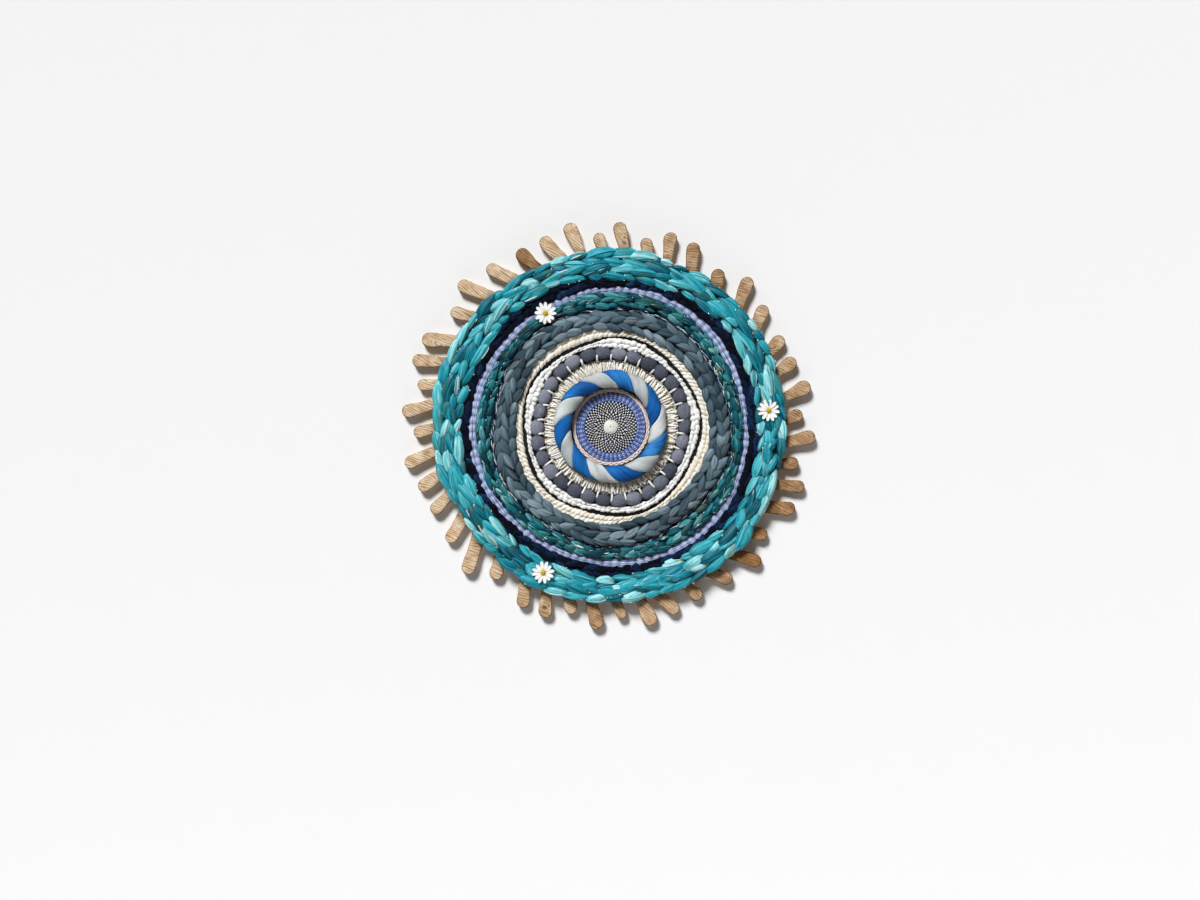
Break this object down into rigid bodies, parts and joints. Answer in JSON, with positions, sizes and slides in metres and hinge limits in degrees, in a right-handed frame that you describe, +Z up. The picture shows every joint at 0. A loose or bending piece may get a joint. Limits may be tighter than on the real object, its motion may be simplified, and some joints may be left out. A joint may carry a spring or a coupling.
{
  "type": "circular woven wall hanging on a toothed wooden ring loom",
  "caption": "Round woven wall hanging of wavy concentric rounds of thick and fine yarn, still on its toothed wooden ring loom, with small sewn-on daisies.",
  "frame": {"origin": "the hanging point: middle of the ring's upper inner edge, on the back plane of the wooden ring", "axes": "+Z up, the back of the ring faces +Y (the wall), the woven face looks along -Y, +X to the right seen from the front"},
  "size_m": [0.4157, 0.0252, 0.4098],
  "materials": {
    "wood_fingers": "open-grained pale brown wood with dark diagonal grain, edges rounded, matt oil",
    "fine_weave": "fine navy and periwinkle tabby on white cotton warp",
    "rope_roving": "soft two-colour blue and grey-white twisted roving",
    "cream_string": "matt cream cotton string",
    "mauve_roving": "purple-grey roving bobbles with white cotton ties",
    "white_nubby": "white nubby yarn",
    "black_yarn": "matt black cotton yarn",
    "cream_cotton": "cream cotton soumak rows",
    "slate_roving": "very thick slate-grey roving",
    "tweed_yarn": "navy, steel-blue and white tweed yarn",
    "teal_roving": "dyed dark teal and green roving with olive hints",
    "periwinkle_yarn": "fine ribbed periwinkle yarn with a soft sheen",
    "navy_chenille": "navy velvet chenille",
    "turquoise_roving": "bright turquoise roving with metallic glints",
    "petal_white": "crisp white petals of a sewn-on flower trim",
    "flower_middle": "yellow domed flower middle"
  },
  "bodies": {
    "root": {"loom_frame": "wood_fingers", "ground_weave": "fine_weave", "twisted_rope_round": "rope_roving", "string_fringe_round": "cream_string", "bobble_round": "mauve_roving", "white_nubby_round": "white_nubby", "black_yarn_round": "black_yarn", "cream_soumak_round": "cream_cotton", "slate_plait_round": "slate_roving", "tweed_yarn_round": "tweed_yarn", "teal_braid_round": "teal_roving", "periwinkle_yarn_round": "periwinkle_yarn", "navy_chenille_round": "navy_chenille", "turquoise_braid_round": "turquoise_roving", "daisy_1": "petal_white", "daisy_2": "petal_white", "daisy_3": "petal_white", "daisy_1_middle": "flower_middle", "daisy_2_middle": "flower_middle", "daisy_3_middle": "flower_middle"}
  },
  "joints": []
}
